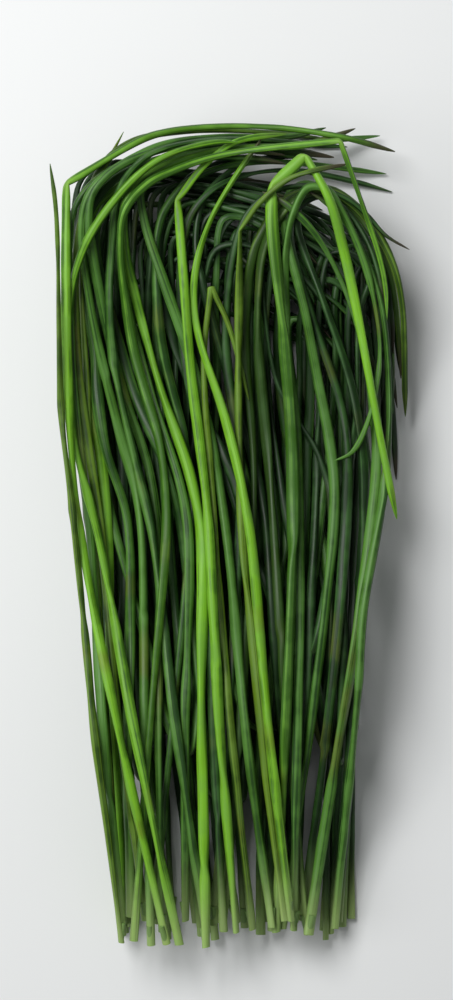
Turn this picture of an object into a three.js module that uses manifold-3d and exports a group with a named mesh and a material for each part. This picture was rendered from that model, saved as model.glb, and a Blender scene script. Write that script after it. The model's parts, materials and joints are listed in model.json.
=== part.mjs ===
// A bunch of cut chives lying on a table, seen from above with its tips up and its cut ends down.
// Millimetres, +Z up, +Y from the cut ends to the tips, origin under the middle of the bunch.
// Each leaf is a five-sided tapering tube along its own route. The leaves are laid one on another from
// the table up, and each settles on the table and on the leaves laid before it without touching them.
import * as THREE from "three";
import { mergeVertices } from "three/addons/utils/BufferGeometryUtils.js";
import Module from "manifold-3d";

const wasm = await Module();
wasm.setup();

// The bunch
const CUT_END_Y = -98; // where the leaves were cut off
const CUT_END_JITTER = 3.5; // how far the cut ends stand before or behind that line
const NECK_SHARE = 0.74; // how close together the cut ends stand, against the leaves' lower parts
const NECK_MID_Y = -45; // where a leaf is partly on its way from its cut end to its own place
const NECK_MID_SHARE = 0.55;
const NECK_ROOM = 12; // a leaf whose own place starts lower than this above it goes there straight

// One leaf
const SIDES = 5;
const FLAT = Math.cos(Math.PI / SIDES); // how far the flat underside is from the axis, in radii
const CUT_END_RADIUS = 0.86; // share of the full radius
const FULL_FROM = 0.22; // shares of the length between which the leaf has its full radius
const FULL_TO = 0.55;
const TIP_RADIUS = 0.3; // share of the full radius where the point begins
const POINT_LENGTH = 5;
const BLUNT_POINT_LENGTH = 1.2; // of a leaf that has lost its tip
const BLUNT_TIP_RADIUS = 0.75;
const TAPER_CURVE = 2; // above 1 the leaf stays broad first and narrows near its tip
const UNDER_FULL_TO = 0.45; // the leaves underneath narrow sooner
const UNDER_TAPER_CURVE = 1.4;

// How a route becomes a line of stations
const SAMPLE_STEP = 1;
const PLAN_TOLERANCE = 0.42; // how far a straight stretch may leave the curve, seen from above
const UNDER_PLAN_TOLERANCE = 0.8;
const RADIUS_WEIGHT = 2;
const LONGEST_STRETCH = 30;
const SHORTEST_STRETCH = 4.5;

// How a leaf lies on the others
const CLEARANCE = 0.2; // between two leaves side by side
const STACKING = 0.92; // height of a five-sided leaf lying on another, against two round ones
const SETTLE_STEP = 4;
const FEWEST_STEPS = 4;
const SETTLE_PASSES = 1500;
const OVER_RELAXATION = 1.6;
const SAG = 1 / 60; // curvature of a leaf between two supports
const TIP_DROOP = 0.14; // slope of a tip that nothing holds up
const RAISE_PASSES = 400;
const RAISED_ENOUGH = 1e-3;
const LEAST_SHARE = 0.04; // keeps one pass from lifting a pinned stretch too far
const NEED_REACH = 0.75; // steps over which a sample's needed height holds
const PILE_CELL = 4; // width of one square of the grid that the pile is kept in
const PILE_ROW = 4096; // squares in a row of the grid
const SAME_POINT = 1e-4;
const ON_AXIS = 1e-3;
const ALMOST_NOTHING = 1e-9;

// A second leaf that grows out of the first one's sheath
const FORK_ROOT_RADIUS = 0.5;
const FORK_FULL_FROM = 0.08;
const FORK_CLIMB = 12; // length in which it comes clear of the first leaf
const FORK_AFTER = 2; // how far its root is past one of the first leaf's stations
const FORK_SUNK = 0.25; // how far above the first leaf's axis its root may lie

const TONES = {
  leaf_bright: { color: "#6fae1f", roughness: 0.46 },
  leaf_olive: { color: "#5a7c1c", roughness: 0.5 },
  leaf_mid: { color: "#3f7a2a", roughness: 0.5 },
  leaf_deep: { color: "#24491f", roughness: 0.52 },
};

// Where a leaf finds its place
const UNDER_TRIES = 20; // routes tried for each leaf underneath, of which the lowest is kept
const CUT_END_TRIES = [-12, -9, -6, -3, 0, 3, 6, 9, 12]; // how far a top leaf's cut end may move over
const CUT_END_HALF_WIDTH = 27;
const LOAD_POWER = 6; // a high spot counts for more than a long low stretch

// Repeatable random numbers from 0 to 1.
function randomFrom(seed) {
  let state = seed;
  return () => {
    state = (Math.imul(state, 1664525) + 1013904223) >>> 0;
    return state / 4294967296;
  };
}
const random = randomFrom(17);
const between = (low, high) => low + (high - low) * random();
const mix = THREE.MathUtils.lerp;

// A route's point where the leaf is creased.
const fold = (x, y) => [x, y, true];

// The leaves that lie on top, from the lowest up. route runs towards the tip from where the leaf
// comes out of the neck of the bunch, as x and y seen from above. girth is the full diameter.
const TOP_LEAVES = [
  {
    name: "leaf_thin_dark", tone: "leaf_deep", girth: 1.7,
    route: [[24.7, 12.5], [23.2, 17.5], fold(21.7, 22), [16.5, 30], [11.5, 40], [8.5, 58], [8, 71]],
  },
  {
    name: "leaf_inner_arc_right", tone: "leaf_deep", girth: 2.4,
    route: [[8, 10], [3.7, 27.5], [-4.5, 55], [-8.5, 75], [-5, 87.5], [6, 95], [23.7, 97]],
  },
  {
    name: "leaf_inner_arc_middle", tone: "leaf_deep", girth: 2.5,
    route: [[2.5, 10], [-10, 38.7], [-16.7, 60], [-17.2, 77.5], [-11.7, 89], [1.2, 95.5], [11.2, 95.5]],
  },
  {
    name: "leaf_inner_arc_left", tone: "leaf_mid", girth: 2.4,
    route: [
      [-13.7, 10], [-25, 40], [-32.2, 67.5], [-33.5, 76], [-29.5, 85.7], [-15, 95.5], [2, 98],
      [22, 95.5],
    ],
  },
  {
    name: "leaf_right_dark_wide", tone: "leaf_deep", girth: 3.1,
    route: [[33.5, 12.5], [33, 22], [29.5, 41], [21.2, 64.5], [16.6, 78.5], [17.5, 84], [22, 87.5]],
  },
  {
    name: "leaf_right_dark_falling", tone: "leaf_deep", girth: 2.8,
    route: [
      [29.2, 12.5], [28.5, 30], [22, 50.5], [15, 73], [15.6, 81], [22.5, 85.5], [28.7, 82], [33.7, 75],
      [37, 66], [38.5, 57],
    ],
  },
  {
    name: "leaf_right_middle", tone: "leaf_mid", girth: 2.5,
    route: [
      [26, 14.2], [22.7, 35], [17.5, 61], [13.7, 76], [14.4, 85.5], [18.2, 88.5], [23, 87.5], [28.7, 81],
      [31.7, 73.7], [34, 65],
    ],
  },
  {
    name: "leaf_outer_falling_short", tone: "leaf_olive", girth: 2.2,
    route: [
      [6, 15], [4, 52], [6.5, 73], [15, 85], [25, 86], [30.5, 81.7], [38.7, 69.5], [42, 53.7], [43, 40.5],
    ],
  },
  {
    name: "leaf_outer_falling_long", tone: "leaf_olive", girth: 2.5,
    route: [
      [10, 15], [7, 52.5], [9, 74], [16.7, 84.5], [23.7, 86.7], [30, 83.7], [38.2, 73.5], [42.7, 60],
      [43.8, 45], [44.2, 31],
    ],
  },
  {
    name: "leaf_right_flicked_tip", tone: "leaf_deep", girth: 2.2,
    route: [
      [2.5, 15], [-1, 52.5], [3.2, 78.7], [9.5, 85.5], [17.5, 87.5], [26.2, 85.7], [33, 81.2], [38.5, 75.5],
      [44.5, 72],
    ],
  },
  {
    name: "leaf_right_edge_wide", tone: "leaf_mid", girth: 2.9,
    route: [
      [34.7, -1], [36.5, 18.7], [36.3, 29], [34, 43.7], [29.2, 60.5], [22.5, 73.7], [13.7, 83], [8, 86],
    ],
  },
  {
    name: "leaf_right_edge_thin", tone: "leaf_mid", girth: 2.2,
    route: [
      [31.7, -37.5], [33.2, -15], [37.5, 7.5], [39.7, 27.5], [39, 46], [36.7, 62.5], [31, 75.5],
      [22.5, 84.2],
      [17, 87],
    ],
  },
  {
    name: "leaf_curled_tip", tone: "leaf_mid", girth: 2.3,
    route: [
      [17.5, 15], [14, 52.5], [14.2, 75], [18.2, 86], [22, 87.6], [26.5, 83], [33.5, 68], [37, 51.2],
      [37, 42.5], [33.5, 27.5], [28.5, 20], [26, 19.7],
    ],
  },
  {
    name: "leaf_tip_right_low", tone: "leaf_deep", girth: 2.3,
    route: [
      [-6.2, 15], [-12, 52.5], [-10.5, 78.7], [-4.5, 87], [5, 91.5], [16, 93], [30, 91], [41.2, 88.2],
    ],
  },
  {
    name: "leaf_tip_right_middle", tone: "leaf_mid", girth: 2.3,
    route: [
      [-10, 15], [-17.5, 52.5], [-17.5, 78.7], [-12.5, 87.5], [-3.7, 92.5], [7.5, 94.5], [20, 94.7],
      [39.7, 92.7],
    ],
  },
  {
    name: "leaf_folded_bright", tone: "leaf_bright", girth: 2.9,
    route: [
      [15.7, 14.5], [14, 42.5], [11.5, 66], [10, 83], fold(10.2, 87), [14.5, 91], fold(18.5, 94.7),
      [24.2, 84.2], [29, 68], [32.2, 52.5], [35.7, 33.7], [39.5, 14.5], [41.5, 5.2],
    ],
  },
  {
    name: "leaf_light_left", tone: "leaf_bright", girth: 2.7,
    route: [
      [-30.7, 4.5], [-32.5, 22.5], [-37.2, 45], [-38.2, 60], [-36.5, 76], [-33.7, 82.5], [-21.2, 92],
      [-6, 96.6], [1.2, 97.5],
    ],
  },
  {
    name: "leaf_left_wide", tone: "leaf_mid", girth: 3.0,
    route: [
      [-25.5, 4.5], [-31.5, 25], [-34, 47.5], [-36.5, 72], [-35.5, 80], [-28.5, 89.5], [-8.7, 97],
      [8, 98.2],
      [26.2, 96.2],
    ],
  },
  {
    name: "leaf_green_beside_bright", tone: "leaf_mid", girth: 2.4,
    route: [
      [-11, 7], [-20.5, 38.7], [-27, 65], [-28.2, 78.7], [-23.7, 88.2], [-8.7, 94.5], [5, 95.2],
      [13.7, 94.2],
    ],
  },
  {
    name: "leaf_left_upright_tip", tone: "leaf_olive", girth: 1.9,
    route: [
      [-33.7, 7.5], [-35.5, 37.5], [-37, 65], [-36.3, 76], [-32, 90.5], [-29, 96.2], [-26.5, 101.7],
    ],
  },
  {
    name: "leaf_top_band_inner", tone: "leaf_olive", girth: 2.3,
    route: [
      [-32.5, 5], [-37.5, 40], [-38.2, 68], [-35.5, 83.7], [-30.5, 94.2], [-23.7, 99.5], [-11.2, 102.7],
      [8.7, 103.2], [25, 101.5],
    ],
  },
  {
    name: "leaf_left_high_arc", tone: "leaf_mid", girth: 2.3,
    route: [
      [-35, 5], [-38.7, 35], [-39.7, 67.5], [-38, 83], [-30.5, 91], [-15, 98], [-3.7, 100.5], [10, 101],
      [28.7, 99.5],
    ],
  },
  {
    name: "leaf_arc_to_high_tip", tone: "leaf_mid", girth: 2.4,
    route: [
      [-22.5, 5], [-27.7, 27.5], [-34.2, 56], [-36.5, 76], [-34, 86.5], [-18, 97.5], [-2, 101],
      [15, 101.7], [24.3, 104.2],
    ],
  },
  {
    name: "leaf_arc_to_long_tip", tone: "leaf_mid", girth: 2.3,
    route: [
      [-18.7, 10], [-28.5, 43.7], [-33.7, 70], [-34.2, 84], [-28, 91.5], [-16.2, 96.7], [-2, 99.7],
      [15, 99.6], [38, 102.2],
    ],
  },
  {
    name: "leaf_slate_long", tone: "leaf_mid", girth: 2.5,
    route: [
      [-20, 5], [-24.5, 23.7], [-29.5, 48.7], [-29.7, 68], [-27.7, 83.5], [-25.5, 90], [-17.5, 96],
      [-4, 99.3], [12.5, 99.4], [29.5, 98.7],
    ],
  },
  {
    name: "leaf_middle_curve", tone: "leaf_mid", girth: 2.6,
    route: [
      [-2, 10], [-10.7, 48], [-19.7, 73.7], [-22.2, 86], [-20, 92], [-11.2, 95.7], [0, 97.2], [13.7, 96.2],
    ],
  },
  {
    name: "leaf_bright_slanting", tone: "leaf_bright", girth: 2.7,
    route: [
      [-8, 7.5], [-17.5, 38.7], [-23.5, 60.5], [-26.3, 78], [-24.7, 85.7], [-16.2, 92.5], [0, 97.2],
      [18.7, 98.7], [31.5, 103.2],
    ],
  },
  {
    name: "leaf_small_fold", tone: "leaf_olive", girth: 2.0,
    route: [[-4.5, 12.5], [-6.5, 45], fold(-4.7, 63), [-0.7, 54.5], [2.7, 42], [4.7, 35]],
  },
  {
    name: "leaf_upright_folded", tone: "leaf_olive", girth: 2.3,
    route: [[2.5, 12.5], [2.2, 48.7], [2.2, 67.5], fold(2.5, 76.5), [8, 83.7], [15, 89], [29, 92.5]],
  },
  {
    name: "leaf_yellow_slanting", tone: "leaf_bright", girth: 2.5,
    route: [[4.5, 5], [-1, 29.5], [-8.5, 54], [-8.7, 66], [-5, 79], [-0.2, 88], [8, 100]],
  },
  {
    name: "leaf_folded_middle", tone: "leaf_bright", girth: 2.6,
    route: [
      [-6, 12], [-9.2, 37], [-11.5, 65], fold(-13, 84.5), [-9.7, 89], [-5, 94.2], [2, 99], [14, 101],
    ],
  },
  {
    name: "leaf_hanging_right", tone: "leaf_bright", girth: 2.2,
    route: [
      [-16.2, 15], [-25, 52.5], [-26.5, 78.7], [-22.5, 86.2], [-3.7, 95], [14, 97], fold(27, 98),
      [30.5, 87.5], [35.5, 75], [38.5, 63], [39, 54.5],
    ],
  },
  {
    name: "leaf_crossing_left", tone: "leaf_bright", girth: 2.4, blunt: true,
    route: [
      [-33.2, 4], [-38.7, 26], [-40, 52], [-37, 69.5], [-28, 84.2], [-17, 94], [-4, 98.3], [2, 98.4],
    ],
  },
  {
    name: "leaf_top_band_outer", tone: "leaf_bright", girth: 2.3,
    route: [
      [-37.5, 5], [-40.2, 45], [-40.4, 70], fold(-40.4, 88), [-31, 94.2], [-18, 101], [-4, 103.4],
      [10, 103.4],
      [27, 101], [41.5, 97.5],
    ],
  },
  {
    name: "leaf_left_stray", tone: "leaf_olive", girth: 1.9,
    route: [[-38.8, 7], [-41.8, 35], [-42, 60], [-43.2, 82], [-44.8, 93.7]],
  },
];

// The leaves underneath, in shoots of three or four: they fan out, arch over to the right at their
// tops and fall again, further the closer they stand to the right side. Of a pair of numbers in
// UNDER_ARCH that isn't a stray, the first is for the left side of the bunch, the second for the right.
const UNDER_SHOOTS = 25;
const FULL_SHOOTS = 18; // the first ones, which have a fourth leaf that lies across under the others
const UNDER_HALF_WIDTH = 26; // of their cut ends
const FAN_Y = 38;
const FAN_LIMITS = [-38, 33]; // where they stand there, from the left one to the right one
const FAN_SKEW = 1.25; // above 1 they stand closer at the left
const FAN_STRAY = 6;
const UNDER_SPREAD = 12; // between the cut ends of one shoot's leaves
const BRANCH_STRAY = [0.3, 1.2];
const BRANCH_GIRTH = 0.9; // share of the first leaf's
const UNDER_GIRTH = [1.9, 2.7];
const UNDER_RIGHT_LIMIT = 43.5;
const RIGHT_LIMIT_STRAY = 9;
const ARCH_STEPS = 3;
const UNDER_ARCH = {
  top: [90, 76],
  topStray: [-14, 4],
  lean: [1, 8],
  leanBack: 3,
  reach: [46, 17],
  reachStray: [0.6, 1.2],
  drop: [3, 40],
  dropStray: [0.5, 1.3],
  turn: [1, Math.PI / 2],
};
const CROSSING_ARCH = { ...UNDER_ARCH, topStray: [-26, -6], reachStray: [0.9, 1.5] };
const CROSSING_STRAY = [-1, 1];
const LAYING_ORDER = 7; // how many shoots further over each next one is laid
const MID_EVERY = 3; // each third shoot is of the mid green
const LOWER_BEND = 0.45; // share of the way from the cut end to the fan where a leaf first bends
const SHOULDER = [0.1, 0.72]; // shares of the way from the fan to the crown, across and up

function underRoute(cutX, startY, arch = UNDER_ARCH) {
  const across = THREE.MathUtils.clamp((cutX / UNDER_HALF_WIDTH + 1) / 2, 0, 1); // 0 left, 1 right
  const wanted = mix(...FAN_LIMITS, across ** FAN_SKEW) + between(-FAN_STRAY, FAN_STRAY);
  const fanX = THREE.MathUtils.clamp(wanted, ...FAN_LIMITS);
  const top = mix(...arch.top, across) + between(...arch.topStray);
  const crownX = fanX + between(...arch.lean) - arch.leanBack * across;
  const limit = UNDER_RIGHT_LIMIT - between(0, RIGHT_LIMIT_STRAY);
  const tipX = Math.min(limit, crownX + mix(...arch.reach, across) * between(...arch.reachStray));
  const drop = mix(...arch.drop, across) * between(...arch.dropStray);
  const turn = mix(...arch.turn, across);
  const route = [
    [cutX, startY],
    [mix(cutX, fanX, LOWER_BEND), mix(CUT_END_Y, FAN_Y, LOWER_BEND)],
    [fanX, FAN_Y],
    [mix(fanX, crownX, SHOULDER[0]), mix(FAN_Y, top, SHOULDER[1])],
  ];
  for (let i = 0; i <= ARCH_STEPS; i++) {
    const angle = (turn * i) / ARCH_STEPS;
    const out = Math.sin(angle) / Math.sin(turn);
    const down = (1 - Math.cos(angle)) / (1 - Math.cos(turn));
    route.push([mix(crownX, tipX, out), top - drop * down]);
  }
  return route;
}

// Seen from above, points every SAMPLE_STEP along a route, which is smooth apart from its folds.
function sampleRoute(route) {
  const runs = [[]];
  for (const [x, y, folded] of route) {
    runs.at(-1).push(new THREE.Vector3(x, y, 0));
    if (folded) runs.push([new THREE.Vector3(x, y, 0)]);
  }
  const samples = [];
  for (const run of runs) {
    const curve = new THREE.CatmullRomCurve3(run, false, "centripetal");
    const count = Math.max(2, Math.round(curve.getLength() / SAMPLE_STEP));
    const points = curve.getSpacedPoints(count);
    points.forEach((p, i) => {
      if (i || !samples.length) samples.push({ x: p.x, y: p.y, corner: false });
    });
    samples.at(-1).corner = true;
  }
  samples[0].corner = true;
  let along = 0;
  samples.forEach((p, i) => {
    if (i) along += Math.hypot(p.x - samples[i - 1].x, p.y - samples[i - 1].y);
    p.s = along;
  });
  return samples;
}

function setRadii(samples, leaf) {
  const length = samples.at(-1).s;
  const point = leaf.blunt ? BLUNT_POINT_LENGTH : POINT_LENGTH;
  const pointRadius = leaf.blunt ? BLUNT_TIP_RADIUS : TIP_RADIUS;
  const fullTo = leaf.under ? UNDER_FULL_TO : FULL_TO;
  const curve = leaf.under ? UNDER_TAPER_CURVE : TAPER_CURVE;
  for (const p of samples) {
    const u = p.s / (length - point);
    const root = leaf.forked ? FORK_ROOT_RADIUS : CUT_END_RADIUS;
    const swell = mix(root, 1, THREE.MathUtils.smoothstep(u, 0, leaf.forked ? FORK_FULL_FROM : FULL_FROM));
    const taper = Math.max(0, Math.min(1, (u - fullTo) / (1 - fullTo)));
    const share = swell * mix(1, pointRadius, taper ** curve);
    const tip = Math.max(0, (p.s - (length - point)) / point);
    p.r = (leaf.girth / 2) * share * (1 - tip);
  }
}

// The samples that a straight stretch has to end at, so that none in between is further off than the
// tolerance. A change of radius counts as a distance too.
function stationsOf(samples, tolerance) {
  const offset = (p, a, b) => {
    const t = (p.s - a.s) / (b.s - a.s);
    return Math.hypot(
      p.x - mix(a.x, b.x, t),
      p.y - mix(a.y, b.y, t),
      RADIUS_WEIGHT * (p.r - mix(a.r, b.r, t)),
    );
  };
  const kept = [0];
  const split = (from, to) => {
    let worst = 0;
    let at = -1;
    const room = samples[to].s - samples[from].s;
    for (let i = from + 1; i < to; i++) {
      const near = Math.min(samples[i].s - samples[from].s, samples[to].s - samples[i].s);
      const off = offset(samples[i], samples[from], samples[to]);
      if (near >= SHORTEST_STRETCH && off > worst) {
        worst = off;
        at = i;
      }
    }
    if (worst <= tolerance) at = room > LONGEST_STRETCH ? Math.round((from + to) / 2) : -1;
    if (at < 0) {
      kept.push(to);
      return;
    }
    split(from, at);
    split(at, to);
  };
  const corners = samples.map((p, i) => (p.corner ? i : -1)).filter((i) => i >= 0);
  for (let i = 1; i < corners.length; i++) split(corners[i - 1], corners[i]);
  return kept;
}

// What has been laid so far, as balls along each leaf's axis in a square grid.
class Pile {
  constructor() {
    this.cells = new Map();
  }

  key(x, y) {
    return Math.floor(x / PILE_CELL) * PILE_ROW + Math.floor(y / PILE_CELL);
  }

  add(ball) {
    const key = this.key(ball.x, ball.y);
    if (!this.cells.has(key)) this.cells.set(key, []);
    this.cells.get(key).push(ball);
  }

  // The lowest height at which a leaf's axis clears what lies there.
  heightOver(x, y, radius, ignored) {
    let height = radius * FLAT;
    for (let i = -1; i <= 1; i++) {
      for (let j = -1; j <= 1; j++) {
        const balls = this.cells.get(this.key(x + i * PILE_CELL, y + j * PILE_CELL)) ?? [];
        for (const ball of balls) {
          if (ignored?.includes(ball.leaf)) continue;
          const reach = radius + ball.r + CLEARANCE;
          const apart = Math.hypot(ball.x - x, ball.y - y);
          if (apart < reach) {
            height = Math.max(height, ball.z + STACKING * Math.sqrt(reach * reach - apart * apart));
          }
        }
      }
    }
    return height;
  }
}

// The line that a springy leaf takes over the heights that it needs: it sags between its supports.
function settle(samples, firstHeight) {
  const length = samples.at(-1).s;
  const count = Math.max(FEWEST_STEPS, Math.round(length / SETTLE_STEP));
  const step = length / count;
  const need = new Array(count + 1).fill(0);
  for (const p of samples) {
    const at = p.s / step;
    const near = [Math.floor(at), Math.min(count, Math.floor(at) + 1)];
    for (const i of near) if (Math.abs(at - i) <= NEED_REACH) need[i] = Math.max(need[i], p.need);
  }
  const z = need.map(() => Math.max(...need));
  if (firstHeight !== undefined) z[0] = firstHeight;
  for (let pass = 0; pass < SETTLE_PASSES; pass++) {
    for (let i = firstHeight === undefined ? 0 : 1; i <= count; i++) {
      const before = i ? z[i - 1] : z[1];
      const after = i < count ? z[i + 1] : z[i - 1] - 2 * TIP_DROOP * step;
      const wanted = (before + after) / 2 - (SAG * step * step) / 2;
      z[i] = Math.max(need[i], z[i] + OVER_RELAXATION * (wanted - z[i]));
    }
  }
  return (s) => {
    const at = Math.min(s / step, count - ALMOST_NOTHING);
    const i = Math.floor(at);
    return mix(z[i], z[i + 1], at - i);
  };
}

// Lifts the stations until every sample of the straight stretches between them is high enough.
function raise(stations, samples, pinned) {
  for (let pass = 0; pass < RAISE_PASSES; pass++) {
    let worst = 0;
    for (let k = 1; k < stations.length; k++) {
      const a = stations[k - 1];
      const b = stations[k];
      for (let i = a.index; i <= b.index; i++) {
        const t = (samples[i].s - a.s) / (b.s - a.s);
        const short = samples[i].need - mix(a.z, b.z, t);
        if (short <= 0) continue;
        worst = Math.max(worst, short);
        const give = pinned && k === 1 ? [0, t * t] : [(1 - t) * (1 - t), t * t];
        const total = Math.max(give[0] + give[1], LEAST_SHARE);
        if (give[0]) a.z += (short * (1 - t)) / total;
        b.z += (short * t) / total;
      }
    }
    if (worst < RAISED_ENOUGH) break;
  }
}

// A leaf's axis seen from above: its stations, and samples on the straight stretches between them.
function planOf(leaf) {
  const samples = sampleRoute(leaf.route);
  setRadii(samples, leaf);
  const kept = stationsOf(samples, leaf.under ? UNDER_PLAN_TOLERANCE : PLAN_TOLERANCE);
  const stations = kept.map((index) => ({ ...samples[index], index }));
  for (let k = 1; k < stations.length; k++) {
    const a = stations[k - 1];
    const b = stations[k];
    for (let i = a.index; i <= b.index; i++) {
      const t = (samples[i].s - a.s) / (b.s - a.s);
      samples[i].x = mix(a.x, b.x, t);
      samples[i].y = mix(a.y, b.y, t);
      samples[i].r = mix(a.r, b.r, t);
    }
  }
  return { leaf, samples, stations };
}

// Of several routes for a leaf, the plan of the one that would lie lowest.
function lowest(leaves, pile) {
  const plans = leaves.map(planOf);
  for (const plan of plans) {
    const heights = plan.samples.map((p) => pile.heightOver(p.x, p.y, p.r));
    plan.load = heights.reduce((sum, z) => sum + z ** LOAD_POWER, 0) / heights.length;
  }
  return plans.reduce((best, plan) => (plan.load < best.load ? plan : best));
}

// Lays a leaf on the pile, and gives its stations their heights.
function lay({ leaf, samples, stations }, pile, parent) {
  for (const p of samples) {
    p.need = pile.heightOver(p.x, p.y, p.r, parent?.leaves);
    if (parent) {
      const clear = Math.min(1, p.s / FORK_CLIMB);
      const over = pile.heightOver(p.x, p.y, p.r);
      p.need = Math.max(p.need, mix(Math.min(over, parent.rootZ), over, clear));
    }
  }
  const line = settle(samples, parent?.rootZ);
  for (const p of stations) p.z = Math.max(line(p.s), samples[p.index].need);
  if (parent) stations[0].z = parent.rootZ;
  raise(stations, samples, Boolean(parent));
  for (let k = 1; k < stations.length; k++) {
    const a = stations[k - 1];
    const b = stations[k];
    for (let i = a.index + (k > 1 ? 1 : 0); i <= b.index; i++) {
      const t = (samples[i].s - a.s) / (b.s - a.s);
      pile.add({ x: samples[i].x, y: samples[i].y, z: mix(a.z, b.z, t), r: samples[i].r, leaf });
    }
  }
  return stations;
}

// A cone of as many rows as the leaf has stretches, bent along its stations.
function leafGeometry(stations) {
  const rows = stations.length - 1;
  const cone = new THREE.ConeGeometry(1, rows, SIDES, rows);
  cone.deleteAttribute("normal");
  cone.deleteAttribute("uv");
  const geometry = mergeVertices(cone, SAME_POINT);
  const position = geometry.getAttribute("position");
  for (let i = 0; i < position.count; i++) {
    const row = Math.round(position.getY(i) + rows / 2);
    const here = stations[row];
    const before = stations[Math.max(0, row - 1)];
    const after = stations[Math.min(rows, row + 1)];
    const inward = new THREE.Vector2(here.x - before.x, here.y - before.y).normalize();
    const onward = new THREE.Vector2(after.x - here.x, after.y - here.y).normalize();
    const along = inward.add(onward).normalize();
    const fromAxis = Math.hypot(position.getX(i), position.getZ(i));
    const growth = fromAxis < ON_AXIS ? 0 : here.r / fromAxis;
    const aside = position.getX(i) * growth;
    const up = position.getZ(i) * growth;
    position.setXYZ(i, here.x + along.y * aside, here.y - along.x * aside, here.z + up);
  }
  return geometry;
}

function solidOf(geometry) {
  return new wasm.Manifold(
    new wasm.Mesh({
      numProp: 3,
      vertProperties: geometry.getAttribute("position").array,
      triVerts: new Uint32Array(geometry.index.array),
    }),
  );
}

function geometryOf(solid) {
  const mesh = solid.getMesh();
  return new THREE.BufferGeometry()
    .setAttribute("position", new THREE.BufferAttribute(mesh.vertProperties, 3))
    .setIndex(new THREE.BufferAttribute(mesh.triVerts, 1));
}

const pile = new Pile();
const shoots = [];

// The place on a shoot's first leaf where the others grow out of it: just past its second or third
// station, whichever has the longer stretch after it.
function rootOn(stations) {
  const k = stations[2].s - stations[1].s > stations[3].s - stations[2].s ? 1 : 2;
  const a = stations[k];
  const b = stations[k + 1];
  const t = FORK_AFTER / (b.s - a.s);
  return { x: mix(a.x, b.x, t), y: mix(a.y, b.y, t), z: mix(a.z, b.z, t), r: mix(a.r, b.r, t) };
}

const tries = (count, make) => Array.from({ length: count }, make);

// Shoots under the others, laid from alternate sides so that the pile grows evenly.
for (let i = 0; i < UNDER_SHOOTS; i++) {
  const turn = (i * LAYING_ORDER) % UNDER_SHOOTS;
  const middleX = mix(-UNDER_HALF_WIDTH, UNDER_HALF_WIDTH, (turn + 0.5) / UNDER_SHOOTS);
  const cutY = CUT_END_Y + between(-CUT_END_JITTER, CUT_END_JITTER);
  const girth = between(...UNDER_GIRTH);
  const stems = tries(UNDER_TRIES, () => {
    const cutX = middleX + between(-UNDER_SPREAD, UNDER_SPREAD) / 2;
    return { under: true, girth, cutX, route: underRoute(cutX, cutY) };
  });
  const stem = lowest(stems, pile);
  const laid = [lay(stem, pile)];
  const leaves = [stem.leaf];
  const root = rootOn(laid[0]);
  const kinds = [
    { side: -1, stray: BRANCH_STRAY, arch: UNDER_ARCH },
    { side: 1, stray: BRANCH_STRAY, arch: UNDER_ARCH },
  ];
  if (i < FULL_SHOOTS) {
    kinds.push({ side: 1, stray: CROSSING_STRAY, arch: CROSSING_ARCH });
  }
  for (const { side, stray, arch } of kinds) {
    const branches = tries(UNDER_TRIES, () => {
      const wanted = stem.leaf.cutX + side * UNDER_SPREAD * between(...stray);
      const cutX = THREE.MathUtils.clamp(wanted, -UNDER_HALF_WIDTH, UNDER_HALF_WIDTH);
      const route = [[root.x, root.y], ...underRoute(cutX, CUT_END_Y, arch).slice(2)];
      return { under: true, forked: true, girth: girth * BRANCH_GIRTH, route };
    });
    const branch = lowest(branches, pile);
    laid.push(lay(branch, pile, { leaves: [...leaves], rootZ: root.z + FORK_SUNK * root.r }));
    leaves.push(branch.leaf);
  }
  const name = `shoot_under_${String(i + 1).padStart(2, "0")}`;
  shoots.push({ name, tone: i % MID_EVERY === MID_EVERY - 1 ? "leaf_mid" : "leaf_deep", laid });
}

for (const leaf of TOP_LEAVES) {
  const [startX, startY] = leaf.route[0];
  const cutY = CUT_END_Y + between(-CUT_END_JITTER, CUT_END_JITTER);
  const places = CUT_END_TRIES.map((aside) => {
    const wanted = startX * NECK_SHARE + aside;
    const cutX = THREE.MathUtils.clamp(wanted, -CUT_END_HALF_WIDTH, CUT_END_HALF_WIDTH);
    const neck = startY > NECK_MID_Y + NECK_ROOM ? [[mix(cutX, startX, NECK_MID_SHARE), NECK_MID_Y]] : [];
    return { ...leaf, route: [[cutX, cutY], ...neck, ...leaf.route] };
  });
  const laid = [lay(lowest(places, pile), pile)];
  shoots.push({ name: leaf.name, tone: leaf.tone, laid });
}

const bunch = new THREE.Group();
for (const shoot of shoots) {
  const leaves = shoot.laid.map(leafGeometry);
  const geometry =
    leaves.length > 1
      ? geometryOf(leaves.map(solidOf).reduce((whole, leaf) => whole.add(leaf)))
      : leaves[0];
  const { color, roughness } = TONES[shoot.tone];
  const material = new THREE.MeshStandardMaterial({ color, roughness, metalness: 0 });
  const mesh = new THREE.Mesh(geometry, material);
  mesh.name = shoot.name;
  bunch.add(mesh);
}

// The origin goes under the middle of the bunch.
const box = new THREE.Box3().setFromObject(bunch, true);
const middle = box.getCenter(new THREE.Vector3());
for (const mesh of bunch.children) mesh.geometry.translate(-middle.x, -middle.y, 0);

export default bunch;
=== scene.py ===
import json
import math
import random
from itertools import combinations

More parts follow.
